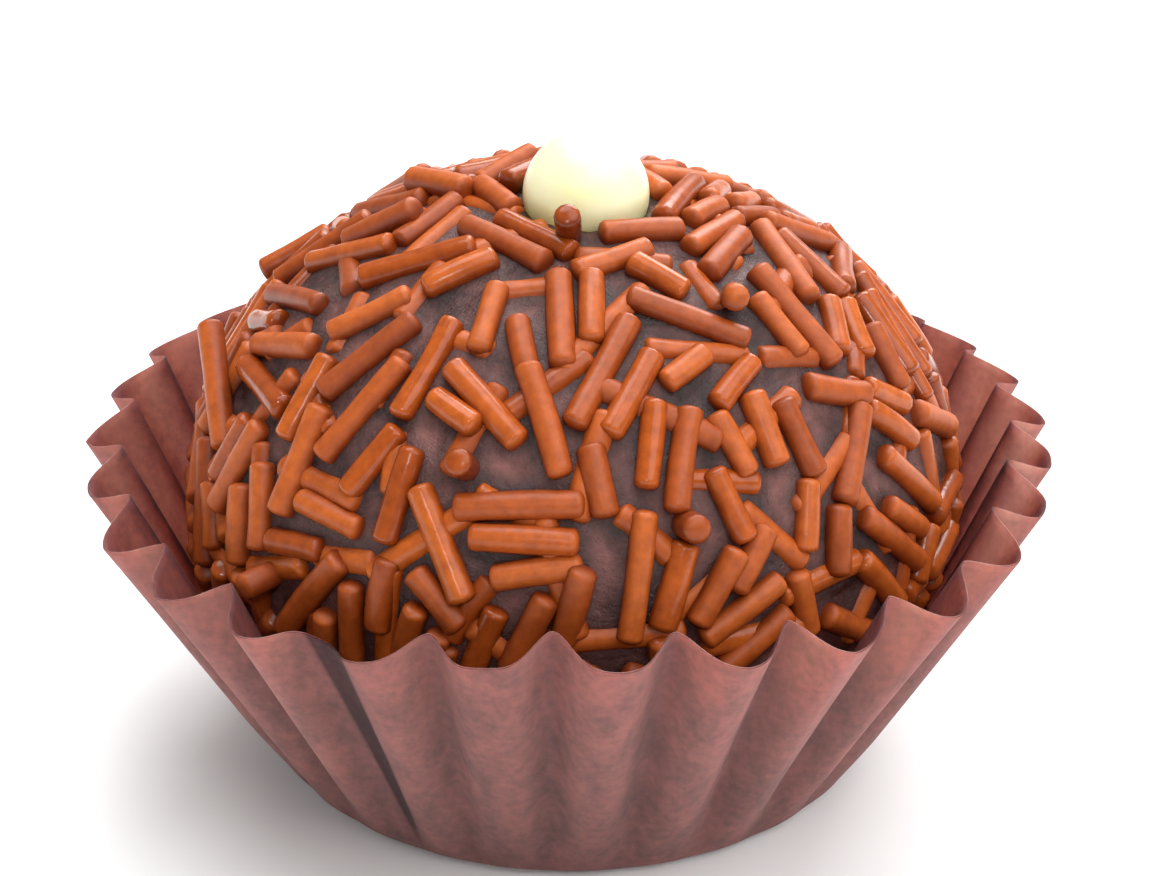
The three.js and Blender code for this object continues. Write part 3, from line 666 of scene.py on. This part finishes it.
def drop_sprinkles():
    """Sprinkles as they first fall on the ball: an even spiral, each one off its place."""
    draw = make_draws(FALLEN_SEED)
    scatter = FALLEN_SCATTER / BALL_RADIUS
    rows = []
    for number in range(FALLEN_SPRINKLES):
        polar = abs(even_polar(number, FALLEN_SPRINKLES) + scatter * (2 * next(draw) - 1))
        circle = max(math.sin(polar), FALLEN_TOP)
        longitude = number * GOLDEN_TURN + scatter * (2 * next(draw) - 1) / circle
        lean = sum(next(draw) for _ in range(FALLEN_DRAWS)) - FALLEN_DRAWS / 2
        stray = next(draw) / FALLEN_STRAY
        heading = math.pi * stray if stray < 1 else lean
        length = between(SPRINKLE_LENGTHS, next(draw))
        rows.append((longitude, polar, heading, length, 0.0))
    return make_rods(rows)


def closest_points(rods, a, b):
    """For each pair of rods, where their axes come closest: distances along, and points."""
    middle, along, half = rods
    apart = middle[a] - middle[b]
    dot = dots(along[a], along[b])
    from_a = dots(along[a], apart)
    from_b = dots(along[b], apart)
    spread = np.maximum(1 - dot**2, PARALLEL)
    on_a = np.clip((dot * from_b - from_a) / spread, -half[a], half[a])
    on_b = np.clip(dot * on_a + from_b, -half[b], half[b])
    on_a = np.clip(dot * on_b - from_a, -half[a], half[a])
    return on_a, on_b, middle[a] + along[a] * on_a[:, None], middle[b] + along[b] * on_b[:, None]


def join_rods(first, second):
    return tuple(np.concatenate(pair) for pair in zip(first, second))


def press_sprinkles():
    """Sprinkles that the rolling pressed deep into the fudge, under the others."""
    draw = make_draws(PRESSED_SEED)
    rows = []
    for number in range(PRESSED_SPRINKLES):
        heading = math.pi * next(draw)
        length = between(SPRINKLE_LENGTHS, next(draw))
        polar = even_polar(number, PRESSED_SPRINKLES)
        rows.append((number * GOLDEN_TURN, polar, heading, length, 0.0))
    middle, along, half = make_rods(rows)
    depth = (PRESSED_SUNK - SPRINKLE_SUNK) * SPRINKLE_DIAMETER
    ends = middle + np.stack([-along, along]) * half[:, None]
    out = over_ball(ends)[1]
    ends = keep_in_case(ends - out * depth, out)
    return *straighten(ends, half), half


def without_crossing(placed, fallen):
    """The fallen rods that miss the pearl and leave room for the listed ones."""
    rods = join_rods(placed, fallen)
    placed_count, count = len(placed[2]), len(rods[2])
    a, b = np.meshgrid(np.arange(placed_count, count), np.arange(placed_count), indexing="ij")
    _, _, point_a, point_b = closest_points(rods, a.ravel(), b.ravel())
    apart = sizes(point_a - point_b).reshape(a.shape)
    clear = apart.min(1) >= ROOM_SHARE * SPRINKLE_SPACING
    clear &= sizes(away_from_pearl(*fallen)) > PEARL_RADIUS
    return tuple(part[clear] for part in fallen)


def find_pushes(rods, pairs, piling):
    """The pushes that part the touching rods, for both ends of each rod, and its touches."""
    middle, along, half = rods
    first, second = pairs
    near = sizes(middle[first] - middle[second]) <= half[first] + half[second] + SPRINKLE_SPACING
    a, b = first[near], second[near]
    on_a, on_b, point_a, point_b = closest_points(rods, a, b)
    apart = point_a - point_b
    distance = sizes(apart)
    touching = distance < SPRINKLE_SPACING
    a, b, on_a, on_b = a[touching], b[touching], on_a[touching], on_b[touching]
    apart, distance = apart[touching], distance[touching]
    out = over_ball((point_a[touching] + point_b[touching]) / 2)[1]
    if piling:
        crossing = distance < CROSSING
        apart[crossing] = -out[crossing]
    else:
        apart -= out * dots(apart, out)[:, None]
        stuck = sizes(apart) < STUCK
        apart[stuck] = np.cross(along[a[stuck]], out[stuck])
    push = units(apart) * ((SPRINKLE_SPACING - distance) / 2)[:, None]
    shifts = np.zeros((2, len(half), 3))
    touches = np.zeros(len(half))
    for rod, on_axis, side in ((a, on_a, 1), (b, on_b, -1)):
        share = (on_axis + half[rod]) / (2 * half[rod])
        whole = share**2 + (1 - share) ** 2  # makes the touching point move by the whole push
        np.add.at(shifts[0], rod, side * push * ((1 - share) / whole)[:, None])
        np.add.at(shifts[1], rod, side * push * (share / whole)[:, None])
        np.add.at(touches, rod, 1)
    return shifts, touches


def settle_ends(ends, rest_height, piling):
    """Moves the ends to rest height over the fudge, clear of the pearl and the case."""
    height, out = over_ball(ends)
    sink = np.where((height > rest_height) & piling, SAG, 1.0)
    ends = ends + out * ((rest_height - height) * sink)[..., None]
    from_pearl = ends - PEARL_CENTRE
    beside = (sizes(from_pearl) < PEARL_ROOM)[..., None]
    pushed = PEARL_CENTRE + units(from_pearl) * PEARL_ROOM
    return keep_in_case(np.where(beside, pushed, ends), out)


def keep_in_case(ends, out):
    """Pushes the ends into the fudge where the case leaves them no room."""
    clearance = SPRINKLE_DIAMETER / 2 + TOUCHING_GAP
    reach = np.hypot(ends[..., 0], ends[..., 1])
    over = np.maximum(reach - (room_radius(ends[..., 2]) - clearance), 0)
    return ends - out * (over / np.hypot(out[..., 0], out[..., 1]))[..., None]


def away_from_pearl(middle, along, half):
    """From the pearl's centre to the nearest point of each rod's axis."""
    to_pearl = PEARL_CENTRE - middle
    nearest = np.clip(dots(to_pearl, along), -half, half)
    return along * nearest[:, None] - to_pearl


def straighten(ends, half):
    """Middles and directions of rods with these ends, moved clear of the pearl."""
    middle = ends.mean(0)
    along = units(ends[1] - ends[0])
    away = away_from_pearl(middle, along, half)
    lack = np.maximum(PEARL_ROOM - sizes(away), 0)
    return middle + units(away) * lack[:, None], along


def settle(rods, standing_count, laid_count):
    """Lets the rods slide apart over the fudge, then pile up. The standing ones stay put,
    and the laid ones only rise onto what they cross."""
    middle, along, half = rods
    order = np.arange(len(half))[:, None]
    stays = order < standing_count
    only_rises = order < standing_count + laid_count
    stand_off = half**2 / (2 * BALL_RADIUS)  # of the ends of a rod whose middle touches the ball
    rest_height = SPRINKLE_DIAMETER * (0.5 - SPRINKLE_SUNK) + stand_off / 2
    pairs = np.triu_indices(len(half), 1)
    for round_number in range(SLIDING_ROUNDS + PILING_ROUNDS):
        piling = round_number >= SLIDING_ROUNDS
        shifts, touches = find_pushes((middle, along, half), pairs, piling)
        ease = EASE / np.maximum(1, touches / 2)
        ends = np.stack([middle - along * half[:, None], middle + along * half[:, None]])
        moves = settle_ends(ends + shifts * ease[:, None], rest_height, piling) - ends
        out = over_ball(ends)[1]
        rises = out * dots(moves, out)[..., None]
        new_middle, new_along = straighten(ends + np.where(only_rises, rises, moves), half)
        middle = np.where(stays, middle, new_middle)
        along = np.where(stays, along, new_along)
    return middle, along, half


def coat_ball():
    """All the sprinkles: those listed, those that fell and stayed, and those pressed in."""
    standing = lay_sprinkles(STANDING)
    laid = lay_sprinkles(LAID)
    placed = join_rods(standing, laid)
    fallen = without_crossing(placed, drop_sprinkles())
    settled = settle(join_rods(placed, fallen), len(STANDING), len(LAID))
    too_high = over_ball(settled[0])[0] > HIGHEST * SPRINKLE_DIAMETER
    too_high[:len(placed[2])] = False
    return join_rods(tuple(part[~too_high] for part in settled), press_sprinkles())


def shape_sprinkle(middle, along, half, draw):
    """The points of a slightly bent rod with blunt ends, ring by ring and then its tips, and how
    far the surface faces out of the ball at each, from which the material paints shade."""
    reach = half + SPRINKLE_DIAMETER / 2
    inner = reach - SPRINKLE_CAP
    cap = SPRINKLE_CAP * SPRINKLE_CAP_RINGS
    cap_width = (1 - SPRINKLE_CAP_RINGS**SPRINKLE_BLUNTNESS) ** (1 / SPRINKLE_BLUNTNESS)
    body = np.linspace(-inner, inner, SPRINKLE_BODY_RINGS)
    station = np.concatenate([-inner - cap, body, inner + cap[::-1]])
    width = np.concatenate([cap_width, np.ones(len(body)), cap_width[::-1]])
    radius = SPRINKLE_DIAMETER / 2 * between(SPRINKLE_THICKNESSES, next(draw))
    swelling = np.sin(station * SPRINKLE_SWELL_TURN + SPRINKLE_SWELL_STARTS * next(draw))
    size = radius * width * (1 + SPRINKLE_SWELL * swelling)
    out = over_ball(middle)[1]
    across = units(np.cross(out, along))
    up = np.cross(along, across)
    bow = SPRINKLE_BOW * (2 * next(draw) - 1) * (1 - (station / reach) ** 2)
    lean = 2 * math.pi * next(draw)
    aside = across * math.cos(lean) + up * math.sin(lean)
    spine = middle + along * station[:, None] + aside * bow[:, None]
    angle = np.arange(SPRINKLE_SIDES) * 2 * math.pi / SPRINKLE_SIDES
    spoke = across * np.cos(angle)[:, None] + up * np.sin(angle)[:, None]
    rings = spine[:, None] + spoke * size[:, None, None]
    tips = np.stack([middle - along * reach, middle + along * reach])
    rise = along @ out
    axial = rise * np.sign(station) * np.sqrt(np.maximum(1 - width**2, 0))
    upward = width[:, None] * (spoke @ out) + axial[:, None]
    return np.concatenate([rings.reshape(-1, 3), tips]), np.append(upward, [-rise, rise])


def make_sprinkles(rods):
    """All sprinkles as one mesh, each with a tone and a gloss of its own."""
    draw = make_draws(SPRINKLES_SEED)
    rings = SPRINKLE_BODY_RINGS + 2 * len(SPRINKLE_CAP_RINGS)
    count = rings * SPRINKLE_SIDES + 2
    points, faces, tones, glosses, upwards = [], [], [], [], []
    for number, rod in enumerate(zip(*rods)):
        shape, upward = shape_sprinkle(*rod, draw)
        start = number * count
        tip = start + count - 2
        points.append(shape)
        faces.append(grid_faces(rings, SPRINKLE_SIDES, start))
        faces.append(fan_faces(tip, start, SPRINKLE_SIDES, flip=True))
        faces.append(fan_faces(tip + 1, tip - SPRINKLE_SIDES, SPRINKLE_SIDES))
        tones.append(np.full(count, next(draw)))
        glosses.append(np.full(count, next(draw)))
        upwards.append(upward)
    piece = make_piece("sprinkles", np.concatenate(points), [faces], [sprinkle_material()])
    for name, values in (("tone", tones), ("gloss", glosses), ("upward", upwards)):
        keep_attribute(piece, name, np.concatenate(values))
    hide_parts("brigadeiro")


def distance_to_rods(points, rods):
    """Distance from each point to the nearest axis, or FAR where no rod is in reach."""
    nearest = np.full(len(points), FAR)
    for middle, along, half in zip(*rods):
        close = np.flatnonzero(sizes(points - middle) < half + FUDGE_REACH)
        to_point = points[close] - middle
        on_axis = np.clip(to_point @ along, -half, half)
        gap = sizes(to_point - on_axis[:, None] * along)
        nearest[close] = np.minimum(nearest[close], gap)
    return nearest


def make_fudge(rods):
    """The ball of fudge, pushed up a little round each sprinkle and hollowed under the pearl."""
    polar, longitude = globe_grid(FUDGE_RINGS, FUDGE_COLUMNS)
    place, out, _, _ = on_ball(longitude, polar)
    gap = distance_to_rods(place, rods) - SPRINKLE_DIAMETER / 2
    place += out * (FUDGE_LIP * np.exp(-((gap / FUDGE_LIP_WIDTH) ** 2)))[:, None]
    place[:, 2] = np.maximum(place[:, 2], BALL_FLAT_HEIGHT)
    socket_radius = PEARL_RADIUS + SOCKET_GAP
    from_pearl = place - PEARL_CENTRE
    inside = sizes(from_pearl) < socket_radius
    place[inside] = PEARL_CENTRE + units(from_pearl[inside]) * socket_radius
    faces = globe_faces(FUDGE_RINGS, FUDGE_COLUMNS)
    fudge = make_piece("fudge", place, [faces], [fudge_material()])
    # Painted shade round each sprinkle, read by the fudge's material.
    near = np.exp(-((np.maximum(gap, 0) / FUDGE_SHADE_WIDTH) ** 2))
    keep_attribute(fudge, "near", near)
    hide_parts("brigadeiro")


# ----------------------------------------------------------------------------- the pearl


def make_pearl():
    """The sugar pearl: a ball with the faint unevenness of a panned sweet."""
    polar, turn = globe_grid(PEARL_RINGS, PEARL_COLUMNS)
    direction = np.stack(
        [np.sin(polar) * np.cos(turn), np.sin(polar) * np.sin(turn), np.cos(polar)], -1)
    first, second = PEARL_WAVES
    uneven = np.sin(direction @ first) * np.cos(direction @ second)
    radius = PEARL_RADIUS * (1 - PEARL_UNEVEN + PEARL_UNEVEN * uneven)
    points = PEARL_CENTRE + direction * radius[:, None]
    faces = globe_faces(PEARL_RINGS, PEARL_COLUMNS)
    pearl = make_piece("sugar_pearl", points, [faces], [sugar_material()])
    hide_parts("pearl")


# ---------------------------------------------------------------------------- the studio


def make_floor():
    bpy.ops.mesh.primitive_plane_add(size=FLOOR_SIDE * MM)
    floor = bpy.context.object
    floor.name = "floor"
    floor.data.materials.append(floor_material())


def aim(thing, target):
    thing.rotation_euler = (Vector(target) - thing.location).to_track_quat("-Z", "Y").to_euler()


def add_light(name, direction, spread, strength):
    """An even light from a direction, softened over a spread of degrees."""
    data = bpy.data.lights.new(name, "SUN")
    data.angle = math.radians(spread)
    data.energy = strength
    light = bpy.data.objects.new(name, data)
    light.location = direction
    bpy.context.scene.collection.objects.link(light)
    aim(light, (0, 0, 0))


def light_studio():
    """A white sky and the lights, with colours shown as they are."""
    world = bpy.data.worlds.new("studio")
    world.use_nodes = True
    sky = world.node_tree.nodes["Background"]
    sky.inputs["Color"].default_value = (*WHITE, 1)
    sky.inputs["Strength"].default_value = SKY_STRENGTH
    bpy.context.scene.world = world
    for light in LIGHTS:
        add_light(*light)
    bpy.context.scene.view_settings.view_transform = "Standard"


def make_camera():
    data = bpy.data.cameras.new("camera")
    data.lens = CAMERA_LENS
    data.clip_start = CAMERA_NEAR
    camera = bpy.data.objects.new("camera", data)
    camera.location = CAMERA_PLACE
    bpy.context.scene.collection.objects.link(camera)
    aim(camera, CAMERA_AIM)
    bpy.context.scene.camera = camera


make_camera()
light_studio()
make_floor()
rods = coat_ball()
make_sprinkles(rods)
make_fudge(rods)
make_pearl()
make_case()
